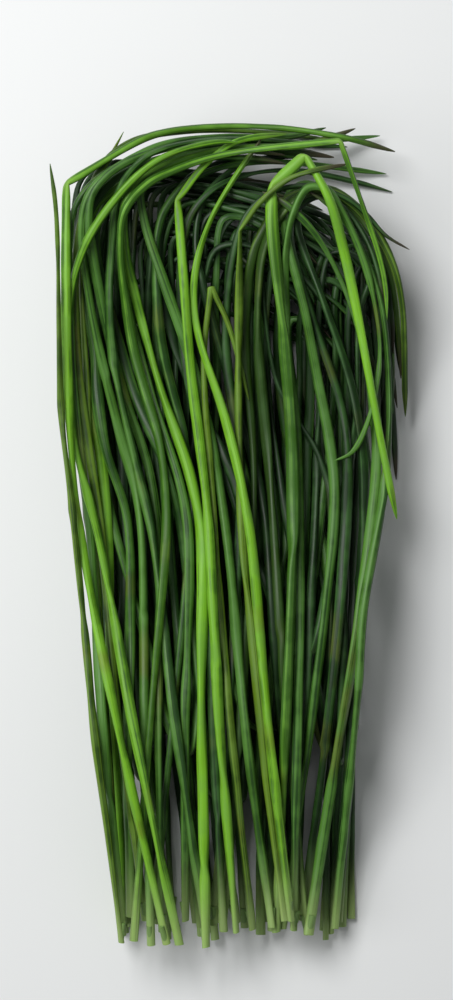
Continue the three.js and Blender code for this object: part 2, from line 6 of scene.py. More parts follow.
import bmesh
import bpy
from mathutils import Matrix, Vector


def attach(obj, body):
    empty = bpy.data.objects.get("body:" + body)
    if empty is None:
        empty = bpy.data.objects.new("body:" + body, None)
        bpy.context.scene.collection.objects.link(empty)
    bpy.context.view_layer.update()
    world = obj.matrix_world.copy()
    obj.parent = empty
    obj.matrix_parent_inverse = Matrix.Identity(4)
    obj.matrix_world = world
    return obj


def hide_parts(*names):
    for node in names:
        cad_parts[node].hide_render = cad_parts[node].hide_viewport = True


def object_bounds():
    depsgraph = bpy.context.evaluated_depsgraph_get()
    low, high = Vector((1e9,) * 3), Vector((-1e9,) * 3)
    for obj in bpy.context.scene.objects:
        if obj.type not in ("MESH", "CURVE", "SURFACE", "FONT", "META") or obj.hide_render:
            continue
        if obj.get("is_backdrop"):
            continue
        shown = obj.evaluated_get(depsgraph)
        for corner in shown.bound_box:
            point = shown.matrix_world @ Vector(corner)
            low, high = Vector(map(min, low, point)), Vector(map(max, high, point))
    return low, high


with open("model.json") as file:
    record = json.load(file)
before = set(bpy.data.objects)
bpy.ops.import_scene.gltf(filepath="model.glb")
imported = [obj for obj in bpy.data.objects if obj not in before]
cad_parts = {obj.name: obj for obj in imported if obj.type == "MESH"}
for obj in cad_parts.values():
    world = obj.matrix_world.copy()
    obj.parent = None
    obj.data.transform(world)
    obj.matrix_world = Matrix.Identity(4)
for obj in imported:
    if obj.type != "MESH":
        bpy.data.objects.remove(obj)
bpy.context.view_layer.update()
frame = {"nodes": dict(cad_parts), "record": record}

bl_info = {
    "name": "Chive bunch",
    "version": (1, 0, 0),
    "blender": (4, 5, 0),
    "location": "3D View > Sidebar > Chives",
    "description": "Builds the skins, colours and stage of a bunch of cut chives",
    "category": "Object",
}

MM = 0.001

# How a leaf's rings are told apart in the solids. A ring stands in an upright plane, and has five
# corners, with one on top.
RING_CORNERS = 5
CORNER = math.radians(72)
HALF_CORNER = math.radians(36)
LEVEL = 4e-6
RISE = 6e-6
RING_REACH = 1.01
SMALLEST_RING = 0.05 * MM
MERGE = 2e-6
AT_CENTRE = 0.05 * MM

# How the skin follows the rings: its girth and its lift against theirs, its bend in a fold, and how
# full it is towards its tip.
ROUND_SHARE = 0.93
ROUND_LIFT = 0.12
FOLD_REACH = 0.8
FOLD_ROOM = 0.45
FOLD_STEPS = 6
PINCH_LENGTH = 2.2 * MM
TIP_SHARE = 0.25
HIDDEN_TIP_LENGTH = 4.5 * MM
FULL_TIP_SHARE = 0.6
FULL_TIP_FROM = 0.5
ROUND_TIP_LENGTH = 7 * MM
SHORTEST_STRETCH = 1e-6
NO_CREASE = 180

# The slow waves that make a leaf uneven and oval: how close they are, how far apart their pattern
# lies for two leaves and for two seeds, and how fine the swelling and the turning of the oval are.
WAVES_PER_METRE = 90.0
LEAVES_APART = 13.7
SEEDS_APART = 1.7
SWELL_SCALE = 0.5
TURN_SCALE = 0.3
TURN_SHIFT = 5

# How much wider a leaf gets across where it is squeezed flat.
OVAL_WIDENING = 0.4
PINCH_WIDENING = 0.3

# The first ring of a leaf with a cut end carries 1 in its "cut" attribute, the others 0.
CUT_RING = 0.9

# How a leaf that grows from another's stem is sunk into it.
ROOT_DEPTHS = (14 * MM, 9 * MM, 4 * MM)
ROOT_SHARE = 0.5
LOWEST_ROOT = 0.2 * MM

# The creased leaves, and the turn in degrees from which a corner of their rings is a crease.
CREASES = {
    "leaf_folded_bright": 40,
    "leaf_small_fold": 100,
    "leaf_upright_folded": 30,
    "leaf_folded_middle": 40,
    "leaf_hanging_right": 70,
    "leaf_top_band_outer": 50,
}

# How light each traced leaf is at evenly spaced places from its cut end to its tip, partly its own
# tone and partly painted shade where it lies in shadow and painted highlights where light falls on
# it: 1 is light, 0 dark, and less than 0 darker all over.
PAINTED_LIGHT_AND_TONE = {
    "leaf_thin_dark": (0.4, 0.2, 0.2),
    "leaf_inner_arc_right": (0.4, 0.3, 0.3),
    "leaf_inner_arc_middle": (0.4, 0.2, 0.2),
    "leaf_inner_arc_left": (0.4, 0.2, 0.2),
    "leaf_right_dark_wide": (0.4, 0.5, 0.4),
    "leaf_right_dark_falling": (0.4, 0.3, 0.5),
    "leaf_right_middle": (0.5, 0.3, 0.4),
    "leaf_outer_falling_short": (0.1, -0.4, -0.4, 0.2, 0.4),
    "leaf_outer_falling_long": (0.1, -0.4, -0.4, 0.3, 0.5),
    "leaf_right_flicked_tip": (0.4, 0.3, 0.3, 0.5),
    "leaf_right_edge_wide": (0.6, 0.7, 0.5),
    "leaf_right_edge_thin": (0.6, 0.5, 0.4),
    "leaf_curled_tip": (0.5, 0.4, 0.4, 0.6, 1.0),
    "leaf_tip_right_low": (0.4, 0.3, 0.5),
    "leaf_tip_right_middle": (0.4, 0.3, 0.3, 0.6),
    "leaf_folded_bright": (0.4, 0.3, 0.1, -0.1, -0.2, -0.2, -0.1, 0.1, 0.9, 1.0, 1.0, 0.9, 0.6),
    "leaf_light_left": (0.6, 0.5, 0.5, 0.3, 0.1),
    "leaf_left_wide": (0.7, 0.7, 0.6, 0.4, 0.2),
    "leaf_green_beside_bright": (0.5, 0.5, 0.6, 0.4, 0.3),
    "leaf_left_upright_tip": (0.4, 0.4, 0.8),
    "leaf_top_band_inner": (0.5, 0.5, 0.6, 0.4, 0.1),
    "leaf_left_high_arc": (0.5, 0.5, 0.4, 0.2, 0.1),
    "leaf_arc_to_high_tip": (0.5, 0.5, 0.6, 0.4, 0.2),
    "leaf_arc_to_long_tip": (0.5, 0.5, 0.5, 0.3, 0.2),
    "leaf_slate_long": (0.4, 0.3, 0.4, 0.3, 0.2),
    "leaf_middle_curve": (0.5, 0.4, 0.5, 0.5, 0.3),
    "leaf_bright_slanting": (0.9, 0.9, 0.8, 0.4, 0.2, 0.2),
    "leaf_small_fold": (0.4, 0.5, 0.9, 0.6),
    "leaf_upright_folded": (0.6, 0.8, 0.9, 0.8, 0.4),
    "leaf_yellow_slanting": (0.6, 0.8, 0.9, 0.8, 0.6),
    "leaf_folded_middle": (0.6, 0.7, 0.7, 0.7, 0.9, 0.5),
    "leaf_hanging_right": (0.4, 0.2, 0.1, 0.1, 0.5, 0.5),
    "leaf_crossing_left": (0.7, 0.6, 0.6, 0.5, 0.4, 0.6),
    "leaf_top_band_outer": (0.9, 0.9, 0.9, 0.9, 0.4, 0.2, 0.1),
    "leaf_left_stray": (0.6, 0.6, 0.7),
}

# The same for the leaves underneath: the range that each place's value is drawn from, darker
# towards the middle and the tip as painted shade under the leaves on top.
UNDER_TONE_AND_PAINTED_SHADE = ((0.3, 0.7), (-0.2, 0.4), (-0.4, 0.2))

# A tip's lightness is read this far along, just short of the last place.
LAST_SHARE = 0.9999

# The patterns of the finish: the noise values between which each goes from dark to light, and how
# far it moves the leaf's tone either way. Then how fine the two kinds of patches are, and how far
# apart the streaks and the pressed patches of two leaves lie in their patterns.
BROAD_TONE = ((0.44, 0.56), 0.28)
FINE_TONE = ((0.35, 0.65), 0.22)
PATCH_TONE = ((0.35, 0.65), 0.2)
PATCHES_PER_METRE = 140.0
PRESSED_PER_METRE = 45.0
LEAF_SHIFT = (31, 17)
PRESSED_SHIFT = (0.9, 0.4)

# Where along a leaf its end is pale and its tip is dry, as shares of its length.
PALE_STRETCH = (0.0, 0.12)
DRY_STRETCH = (0.95, 0.99)
DRY_RAGGEDNESS = 0.03

# How strongly each colour covers the leaf's own at most.
BLOOM_SHARE = 0.3
BRUISE_SHARES = (0.1, 0.4)
# The crease colour is a painted highlight on the skin in a fold.
CREASE_HIGHLIGHT_SHARE = 0.45
DRY_SHARES = (0.85, 0.0)
PALE_SHARE = 0.75
RIM_SHARE = 0.8
INNER_SHARE = 0.75

# Gloss and relief: the even part, and what the patterns add to it.
ROUGHNESS = 0.44
PATCH_ROUGHNESS = 0.3
FINE_ROUGHNESS = 0.14
BROAD_RELIEF = 5.0
FINE_RELIEF = 0.8
PATCH_RELIEF = 0.6
RELIEF_DEPTH = 0.12 * MM

# The stage, in metres: the floor and its mottle, the two round lights that shine on the origin, and
# the point that the camera looks straight down on, about half way up the bunch.
FLOOR_HALF = 3.0
MOTTLES_PER_METRE = 9.0
MOTTLE_SHARE = 0.25
MOTTLE_SHADE = 0.96
LIGHT_ABOVE = (-0.28, 0.32, 0.68)
LIGHT_LEFT = (-0.6, -0.1, 0.5)
LIGHT_SIZE = 0.4
SKY = (0.98, 1.0, 1.0, 1.0)
VIEWED = (-0.7 * MM, 8.5 * MM, 0.015)
SENSOR_WIDTH = 36.0


class Value:
    """A node's output in an expression: every operator adds the Math node that works it out."""

    def __init__(self, graph, socket):
        self.graph, self.socket = graph, socket

    def maths(self, operation, *sides):
        return self.graph.node("ShaderNodeMath", {"operation": operation}, dict(enumerate(sides)))

    def __add__(self, other):
        return self.maths("ADD", self, other)

    def __radd__(self, other):
        return self.maths("ADD", other, self)

    def __sub__(self, other):
        return self.maths("SUBTRACT", self, other)

    def __rsub__(self, other):
        return self.maths("SUBTRACT", other, self)

    def __mul__(self, other):
        return self.maths("MULTIPLY", self, other)

    def __gt__(self, other):
        return self.maths("GREATER_THAN", self, other)


class Graph:
    """A node tree that is filled in by calls."""

    def __init__(self, tree):
        self.tree = tree

    def feed(self, socket, value):
        if isinstance(value, Value):
            self.tree.links.new(value.socket, socket)
        else:
            socket.default_value = value

    def node(self, kind, settings=None, sockets=None, out=0):
        """Adds a node: its settings first, then the values or links of its sockets."""
        made = self.tree.nodes.new(kind)
        for name, value in (settings or {}).items():
            setattr(made, name, value)
        for key, value in (sockets or {}).items():
            if isinstance(key, int):
                socket = made.inputs[key]
            else:
                socket = next(s for s in made.inputs if key in (s.identifier, s.name))
            self.feed(socket, value)
        if isinstance(out, int):
            return Value(self, made.outputs[out]) if made.outputs else None
        return Value(self, next(s for s in made.outputs if out in (s.identifier, s.name)))

    def other(self, value, out):
        """Another output of the node that a value comes from."""
        outputs = value.socket.node.outputs
        return Value(self, next(s for s in outputs if out in (s.identifier, s.name)))

    def mix(self, share, first, second):
        """A colour between two colours."""
        return self.node(
            "ShaderNodeMix", {"data_type": "RGBA"},
            {"Factor_Float": share, "A_Color": first, "B_Color": second},
            "Result_Color",
        )

    def vector(self, operation, *sides, out="Vector"):
        settings = {"operation": operation}
        return self.node("ShaderNodeVectorMath", settings, dict(enumerate(sides)), out)

    def times(self, vector, number):
        return self.node(
            "ShaderNodeVectorMath", {"operation": "SCALE"}, {"Vector": vector, "Scale": number}
        )

    def point(self, x=0.0, y=0.0, z=0.0):
        return self.node("ShaderNodeCombineXYZ", {}, {"X": x, "Y": y, "Z": z})

    def fit(self, value, low, high, new_low=0.0, new_high=1.0):
        """A value moved smoothly from one range to another."""
        return self.node(
            "ShaderNodeMapRange",
            {"interpolation_type": "SMOOTHSTEP"},
            {
                "Value": value, "From Min": low, "From Max": high,
                "To Min": new_low, "To Max": new_high,
            },
        )


# The rings of the solids

def ring_at(top):
    """The ring whose upper corner is this vertex, with three of its corners, or None."""
    near = [edge.other_vert(top) for edge in top.link_edges]
    for left, right in combinations(near, 2):
        middle = (left.co + right.co) / 2
        if abs(left.co.z - right.co.z) > LEVEL or (middle - top.co).xy.length > LEVEL:
            continue
        radius = (left.co - right.co).length / (2 * math.sin(CORNER))
        if radius < SMALLEST_RING:
            continue
        if abs(top.co.z - middle.z - (1 - math.cos(CORNER)) * radius) > RISE:
            continue
        centre = middle - Vector((0, 0, math.cos(CORNER) * radius))
        return {"corners": [top, left, right], "radius": radius, "centre": centre}
    return None


def chains_of(node):
    """The leaves of a CAD node: for each its points (centre, radius) from the root to the tip, and
    whether its root is a cut end."""
    bm = bmesh.new()
    bm.from_mesh(frame["nodes"][node].data)
    bmesh.ops.remove_doubles(bm, verts=bm.verts, dist=MERGE)
    rings = [ring for ring in map(ring_at, bm.verts) if ring]
    for ring in rings:
        low = ring["centre"].z - math.cos(HALF_CORNER) * ring["radius"]
        for side in ring["corners"][1:]:
            for edge in side.link_edges:
                corner = edge.other_vert(side)
                away = (corner.co - ring["centre"]).length
                if abs(corner.co.z - low) < RISE and away < ring["radius"] * RING_REACH:
                    ring["corners"].append(corner)
    owner = {corner: number for number, ring in enumerate(rings) for corner in ring["corners"]}
    links = [set() for _ in rings]
    ends = {}
    for vertex in bm.verts:
        near = [owner.get(edge.other_vert(vertex)) for edge in vertex.link_edges]
        if vertex in owner:
            links[owner[vertex]].update(n for n in near if n is not None and n != owner[vertex])
        elif len(near) == RING_CORNERS and len(set(near)) == 1 and near[0] is not None:
            away = (vertex.co - rings[near[0]]["centre"]).length
            ends.setdefault(near[0], []).append((away < AT_CENTRE, vertex.co.copy()))
    leaves, seen = [], set()
    for first in range(len(rings)):
        if len(links[first]) != 1 or first in seen:
            continue
        chain, last = [first], None
        while links[chain[-1]] - {last}:
            last, onward = chain[-1], (links[chain[-1]] - {last}).pop()
            chain.append(onward)
        seen.update(chain)
        if rings[chain[0]]["radius"] < rings[chain[-1]]["radius"]:
            chain.reverse()
        cut = any(is_cap for is_cap, _ in ends.get(chain[0], []))
        points = [(rings[n]["centre"].copy(), rings[n]["radius"]) for n in chain]
        apex = [place for is_cap, place in ends.get(chain[-1], []) if not is_cap]
        if not apex:
            onward = (points[-1][0] - points[-2][0]).normalized()
            apex = [points[-1][0] + onward * HIDDEN_TIP_LENGTH]
        points.append((apex[0], points[-1][1] * TIP_SHARE))
        leaves.append({"points": points, "cut": cut})
    bm.free()
    leaves.sort(key=lambda leaf: not leaf["cut"])
    return leaves


def root_in(leaf, stem):
    """Sinks the root of a leaf that grows from a stem into the stem."""
    start, radius = leaf["points"][0]
    lengths = [0.0]
    places = [p for p, _ in stem["points"]]
    for a, b in zip(places, places[1:]):
        lengths.append(lengths[-1] + (b - a).length)
    (_, onward), passed = min(
        (nearest_on(start, a, b), low) for a, b, low in zip(places, places[1:], lengths)
    )
    reached = passed + onward
    sunk = []
    for depth in ROOT_DEPTHS:
        place = at_length(places, lengths, max(reached - depth, LOWEST_ROOT))
        sunk.append((place, radius * ROOT_SHARE))
    leaf["points"] = sunk + leaf["points"]


def nearest_on(point, a, b):
    """How far a point is from a stretch, and how far along the stretch it is nearest."""
    way = b - a
    share = min(max((point - a).dot(way) / way.length_squared, 0), 1)
    return (a + way * share - point).length, share * way.length


def at_length(places, lengths, wanted):
    """The place at a length along a line of stretches."""
    for a, b, low, high in zip(places, places[1:], lengths, lengths[1:]):
        if wanted <= high:
            return a.lerp(b, (wanted - low) / (high - low))
    return places[-1]


# The path of a leaf

def smooth_run(points, step):
    """A smooth line through points of four numbers, which doesn't overshoot."""
    if len(points) == 2:
        count = max(int((points[1] - points[0]).length / step), 1)
        return [points[0].lerp(points[1], i / count) for i in range(count + 1)]
    padded = [points[0] * 2 - points[1], *points, points[-1] * 2 - points[-2]]
    line = [points[0]]
    for a, b, c, d in zip(padded, padded[1:], padded[2:], padded[3:]):
        knots = [0.0]
        for p, q in ((a, b), (b, c), (c, d)):
            knots.append(knots[-1] + max((q - p).length, SHORTEST_STRETCH) ** 0.5)
        t0, t1, t2, t3 = knots
        count = max(math.ceil((c - b).length / step), 1)
        for i in range(1, count + 1):
            t = t1 + (t2 - t1) * i / count
            ab = a * ((t1 - t) / (t1 - t0)) + b * ((t - t0) / (t1 - t0))
            bc = b * ((t2 - t) / (t2 - t1)) + c * ((t - t1) / (t2 - t1))
            cd = c * ((t3 - t) / (t3 - t2)) + d * ((t - t2) / (t3 - t2))
            abc = ab * ((t2 - t) / (t2 - t0)) + bc * ((t - t0) / (t2 - t0))
            bcd = bc * ((t3 - t) / (t3 - t1)) + cd * ((t - t1) / (t3 - t1))
            line.append(abc * ((t2 - t) / (t2 - t1)) + bcd * ((t - t1) / (t2 - t1)))
    return line


def path_of(leaf, step, crease):
    """The leaf's finished path: points of four numbers, and its folds as (place, way inwards)."""
    points = [Vector((*p, r)) for p, r in leaf["points"]]
    folds = []
    runs, run = [], [points[0]]
    for before, here, after in zip(points, points[1:], points[2:]):
        come, go = (here - before).xyz, (after - here).xyz
        if come.angle(go) < crease:
            run.append(here)
            continue
        reach = min(FOLD_REACH * here.w, FOLD_ROOM * come.length, FOLD_ROOM * go.length)
        start = here + (before - here) * (reach / come.length)
        end = here + (after - here) * (reach / go.length)
        runs.append(("run", run + [start]))
        runs.append(("fold", (start, here, end)))
        folds.append((here.xyz, (go.normalized() - come.normalized()).normalized()))
        run = [end]
    runs.append(("run", run + [points[-1]]))
    line = []
    for kind, part in runs:
        if kind == "run":
            found = smooth_run(part, step)
        else:
            a, b, c = part
            shares = [i / FOLD_STEPS for i in range(FOLD_STEPS + 1)]
            found = [a * (1 - t) ** 2 + b * (2 * t * (1 - t)) + c * t**2 for t in shares]
        line += found if not line else found[1:]
    return line, folds


# The skin of a leaf

INPUTS = (
    ("Sides", "NodeSocketInt"),
    ("Wall", "NodeSocketFloat"),
    ("Hollow depth", "NodeSocketFloat"),
    ("Unevenness", "NodeSocketFloat"),
    ("Ovalness", "NodeSocketFloat"),
    ("Pinch", "NodeSocketFloat"),
    ("Seed", "NodeSocketInt"),
    ("Material", "NodeSocketMaterial"),
)


def skin_tree():
    """Geometry Nodes that sweep a round, hollow-ended skin along a leaf's path."""
    tree = bpy.data.node_groups.new("leaf_skin", "GeometryNodeTree")
    tree.is_modifier = True
    tree.interface.new_socket("Geometry", in_out="INPUT", socket_type="NodeSocketGeometry")
    for name, kind in INPUTS:
        tree.interface.new_socket(name, in_out="INPUT", socket_type=kind)
    tree.interface.new_socket("Geometry", in_out="OUTPUT", socket_type="NodeSocketGeometry")
    g = Graph(tree)
    given = g.node("NodeGroupInput")

    def named(name, kind="FLOAT"):
        return g.node("GeometryNodeInputNamedAttribute", {"data_type": kind}, {"Name": name})

    path = g.node("GeometryNodeMeshToCurve", {}, {"Mesh": given})
    profile = g.node(
        "GeometryNodeCurvePrimitiveCircle", {},
        {"Resolution": g.other(given, "Sides"), "Radius": 1.0},
    )
    profile = g.node(
        "GeometryNodeStoreNamedAttribute",
        {"data_type": "FLOAT_VECTOR", "domain": "POINT"},
        {"Geometry": profile, "Name": "around", "Value": g.node("GeometryNodeInputPosition")},
    )
    skin = g.node(
        "GeometryNodeCurveToMesh", {},
        {"Curve": path, "Profile Curve": profile, "Scale": named("thickness"), "Fill Caps": True},
    )

    centre = named("centre", "FLOAT_VECTOR")
    away = g.vector("SUBTRACT", g.node("GeometryNodeInputPosition"), centre)
    place = g.vector(
        "ADD", g.times(centre, WAVES_PER_METRE), g.times(named("leaf"), LEAVES_APART)
    )
    waves = {"noise_dimensions": "4D"}
    seed = g.other(given, "Seed") * SEEDS_APART
    swell = g.node(
        "ShaderNodeTexNoise", waves,
        {"Vector": place, "W": seed, "Scale": SWELL_SCALE, "Detail": 1.0},
    )
    away = g.times(away, 1 + (swell - 0.5) * g.other(given, "Unevenness"))
    turned = g.node(
        "ShaderNodeTexNoise", waves,
        {"Vector": place, "W": seed + TURN_SHIFT, "Scale": TURN_SCALE, "Detail": 0.0}, "Color",
    )
    flat_way = g.vector("NORMALIZE", g.vector("SUBTRACT", turned, (0.5, 0.5, 0.5)))

    def squeezed(vector, way, share, widening):
        """A vector made shorter along one way and longer across it."""
        along = g.times(way, g.vector("DOT_PRODUCT", vector, way, out="Value") * share)
        return g.vector("SUBTRACT", g.times(vector, 1 + share * widening), along)

    away = squeezed(away, flat_way, g.other(given, "Ovalness"), OVAL_WIDENING)
    pinched = named("bend") * g.other(given, "Pinch")
    away = squeezed(away, named("bend_way", "FLOAT_VECTOR"), pinched, PINCH_WIDENING)
    skin = g.node(
        "GeometryNodeSetPosition", {}, {"Geometry": skin, "Position": g.vector("ADD", centre, away)}
    )

    end = named("cut") > CUT_RING
    rim = g.node(
        "GeometryNodeExtrudeMesh", {"mode": "FACES"},
        {"Mesh": skin, "Selection": end, "Offset Scale": 0.0, "Individual": True},
    )
    rim_top, rim_side = g.other(rim, "Top"), g.other(rim, "Side")
    skin = g.node(
        "GeometryNodeScaleElements", {"domain": "FACE"},
        {"Geometry": rim, "Selection": rim_top, "Scale": 1 - g.other(given, "Wall")},
    )
    skin = g.node(
        "GeometryNodeStoreNamedAttribute", {"data_type": "FLOAT", "domain": "FACE"},
        {"Geometry": skin, "Name": "rim", "Value": rim_side},
    )
    hole = g.node(
        "GeometryNodeExtrudeMesh", {"mode": "FACES"},
        {
            "Mesh": skin, "Selection": rim_top, "Individual": True,
            "Offset Scale": 0 - g.other(given, "Hollow depth"),
        },
    )
    within = g.other(hole, "Top") + g.other(hole, "Side")
    skin = g.node(
        "GeometryNodeStoreNamedAttribute", {"data_type": "FLOAT", "domain": "FACE"},
        {"Geometry": hole, "Name": "within", "Value": within},
    )
    skin = g.node("GeometryNodeSetShadeSmooth", {}, {"Geometry": skin, "Shade Smooth": True})
    skin = g.node("GeometryNodeRealizeInstances", {}, {"Geometry": skin})
    skin = g.node(
        "GeometryNodeSetMaterial", {}, {"Geometry": skin, "Material": g.other(given, "Material")}
    )
    g.node("NodeGroupOutput", {}, {"Geometry": skin})
    return tree


def between_stops(stops, share):
    """The value at a share of the way along evenly spaced stops."""
    at = min(share, LAST_SHARE) * (len(stops) - 1)
    low = int(at)
    return stops[low] + (stops[low + 1] - stops[low]) * (at - low)


def path_mesh(node, leaves, step):
    """A mesh of bare edges along a node's leaves, with what their skin needs in its attributes."""
    places, edges = [], []
    facts = {"thickness": [], "along": [], "leaf": [], "bend": [], "cut": [], "light": []}
    ways = []
    crease = math.radians(CREASES.get(node, NO_CREASE))
    for leaf in leaves:
        line, folds = path_of(leaf, step, crease)
        total = sum((b - a).xyz.length for a, b in zip(line, line[1:]))
        fullest = max(point.w for point in line)
        run = 0.0
        first = len(places)
        for number, point in enumerate(line):
            if number:
                run += (point - line[number - 1]).xyz.length
                edges.append((first + number - 1, first + number))
            bend, way = 0.0, Vector((0, 0, 1))
            for fold, inwards in folds:
                near = math.exp(-(((point.xyz - fold).length / PINCH_LENGTH) ** 2))
                if near > bend:
                    bend, way = near, inwards
            share = run / total
            blunt = FULL_TIP_SHARE * fullest * min(1, math.sqrt((total - run) / ROUND_TIP_LENGTH))
            radius = max(point.w, blunt if share > FULL_TIP_FROM else 0)
            places.append(point.xyz + Vector((0, 0, ROUND_LIFT * point.w)))
            facts["thickness"].append(radius * ROUND_SHARE)
            facts["along"].append(share)
            facts["leaf"].append(leaf["seed"])
            facts["bend"].append(bend)
            facts["cut"].append(1.0 if leaf["cut"] and not number else 0.0)
            facts["light"].append(between_stops(leaf["light"], share))
            ways.append(way)
    mesh = bpy.data.meshes.new("path")
    mesh.from_pydata(places, edges, [])
    for fact, values in facts.items():
        mesh.attributes.new(fact, "FLOAT", "POINT").data.foreach_set("value", values)
    for fact, values in (("centre", places), ("bend_way", ways)):
        flat = [number for value in values for number in value]
        mesh.attributes.new(fact, "FLOAT_VECTOR", "POINT").data.foreach_set("vector", flat)
    return mesh


def slot_of(node):
    """The record's material slot of a node."""
    parts = frame["record"]["subparts"]
    return next(part["material_slot"] for part in parts if part["node"] == node)


def skin_piece(node, settings, sides, step, material):
    """Makes the piece that stands for one CAD node."""
    rng = random.Random(node)
    leaves = chains_of(node)
    if not leaves or not leaves[0]["cut"]:
        raise RuntimeError(f"no cut end was found in {node}")
    for leaf in leaves:
        leaf["seed"] = rng.random()
        if not leaf["cut"]:
            root_in(leaf, leaves[0])
        leaf["light"] = PAINTED_LIGHT_AND_TONE.get(node) or [rng.uniform(*span) for span in UNDER_TONE_AND_PAINTED_SHADE]
    path = bpy.data.objects.new("path", path_mesh(node, leaves, step))
    bpy.context.scene.collection.objects.link(path)
    modifier = path.modifiers.new("skin", "NODES")
    tree = bpy.data.node_groups.get("leaf_skin") or skin_tree()
    modifier.node_group = tree
    given = {
        "Sides": sides,
        "Wall": settings.wall,
        "Hollow depth": settings.hollow_depth,
        "Unevenness": settings.unevenness,
        "Ovalness": settings.ovalness,
        "Pinch": settings.pinch,
        "Seed": settings.seed,
        "Material": material,
    }
    for item in tree.interface.items_tree:
        if item.item_type == "SOCKET" and item.in_out == "INPUT" and item.name in given:
            modifier[item.identifier] = given[item.name]
    path.update_tag()
    graph = bpy.context.evaluated_depsgraph_get()
    mesh = bpy.data.meshes.new_from_object(path.evaluated_get(graph))
    old = path.data
    bpy.data.objects.remove(path)
    bpy.data.meshes.remove(old)
    mesh.name = "skin_" + node
    for name in ("centre", "bend_way", "thickness", "cut"):
        if name in mesh.attributes:
            mesh.attributes.remove(mesh.attributes[name])
    if not mesh.polygons:
        raise RuntimeError(f"{node} has no skin")
    piece = bpy.data.objects.new("skin_" + node, mesh)
    bpy.context.scene.collection.objects.link(piece)
    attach(piece, "root")
    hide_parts(node)
    slot_of(node)


# The finishes

def bare_material(name):
    """A new material, and the graph of its empty node tree."""
    material = bpy.data.materials.new(name)
    material.use_nodes = True
    material.node_tree.nodes.clear()
    return material, Graph(material.node_tree)


def leaf_material(name, dark, light, colours):
    """Waxy chive leaf: streaks along its length, a pale cut end, a dry tip and a thin bloom, with
    shade and highlights painted along it and in its folds.
    """
    material, g = bare_material(name)

    def read(attribute, out="Fac"):
        return g.node("ShaderNodeAttribute", {"attribute_name": attribute}, None, out)

    def noise(place, scale, detail):
        return g.node("ShaderNodeTexNoise", {}, {"Vector": place, "Scale": scale, "Detail": detail})

    along, leaf, bend, tone_and_painted_light = read("along"), read("leaf"), read("bend"), read("light")
    within, rim = read("within"), read("rim")
    place = g.vector("ADD", read("around", "Vector"), g.point(z=along))
    place = g.vector("ADD", place, g.point(x=leaf * LEAF_SHIFT[0], y=leaf * LEAF_SHIFT[1]))

    def streaks(across, detail, shift):
        """Streaks along the leaf, so many times finer across it than along it."""
        stretched = g.vector("MULTIPLY", place, (across, across, 1.0))
        return noise(g.vector("ADD", stretched, (shift, 0.0, shift)), 1.0, detail)

    # The broad streaks make one side of a leaf lighter and the other darker along its length: a
    # painted soft highlight and shade, at random sides.
    broad = streaks(across=0.9, detail=2.0, shift=3.0)
    fine = streaks(across=7.0, detail=3.0, shift=9.0)
    spot = g.node("ShaderNodeTexCoord", {}, None, "Object")
    patch = noise(spot, PATCHES_PER_METRE, 3.0)
    own_spot = g.vector("ADD", spot, g.point(x=leaf * PRESSED_SHIFT[0], z=leaf * PRESSED_SHIFT[1]))
    pressed = noise(own_spot, PRESSED_PER_METRE, 2.0)

    # The tone: the leaf's stops, which paint its shade and highlights as well as its own tone, with
    # its streaks and patches added.
    tone = tone_and_painted_light
    for pattern, (span, reach) in ((broad, BROAD_TONE), (fine, FINE_TONE), (patch, PATCH_TONE)):
        tone = tone + g.fit(pattern, *span, -reach, reach)

    # Bruises show more on light skin. Dry tips show less there, and some leaves have none.
    bruised = g.fit(pressed + (fine - 0.5) * 0.15, 0.6, 0.7)
    bruised = bruised * g.fit(tone, 0.1, 0.7, *BRUISE_SHARES)
    dry = g.fit(along + (patch - 0.5) * DRY_RAGGEDNESS, *DRY_STRETCH)
    dry = dry * g.fit(leaf, 0.1, 0.5) * g.fit(tone_and_painted_light, 0.65, 0.9, *DRY_SHARES)
    pale = g.fit(along, *PALE_STRETCH, 1.0, 0.0)

    # The leaf's colour between its shaded and its light colour by its tone: its own tone with
    # painted shade and light.
    colour = g.mix(g.fit(tone, 0.0, 1.0), dark, light)
    for share, layer in (
        (g.fit(patch * broad, 0.2, 0.4) * BLOOM_SHARE, "bloom"),
        (bruised, "bruise"),
        # A painted highlight where the leaf bends in a fold.
        (bend * CREASE_HIGHLIGHT_SHARE, "crease"),
        (dry, "dry_tip"),
        (pale * pale * PALE_SHARE, "pale_end"),
        (g.fit(rim, 0.0, 1.0) * RIM_SHARE, "pale_end"),
        (within * INNER_SHARE, "inner_wall"),
    ):
        colour = g.mix(share, colour, colours[layer])

    roughness = ROUGHNESS + (patch - 0.5) * PATCH_ROUGHNESS + fine * FINE_ROUGHNESS
    height = broad * BROAD_RELIEF + fine * FINE_RELIEF + patch * PATCH_RELIEF
    bump = g.node(
        "ShaderNodeBump", {}, {"Strength": 0.5, "Distance": RELIEF_DEPTH, "Height": height}
    )
    surface = g.node(
        "ShaderNodeBsdfPrincipled", {"subsurface_method": "RANDOM_WALK"},
        {
            "Base Color": colour, "Roughness": roughness, "Normal": bump, "IOR": 1.4,
            "Subsurface Weight": 0.12, "Subsurface Radius": (0.5, 1.0, 0.2),
            "Subsurface Scale": 0.8 * MM, "Coat Weight": 0.05, "Coat Roughness": 0.25,
        },
    )
    g.node("ShaderNodeOutputMaterial", {}, {"Surface": surface})
    return material


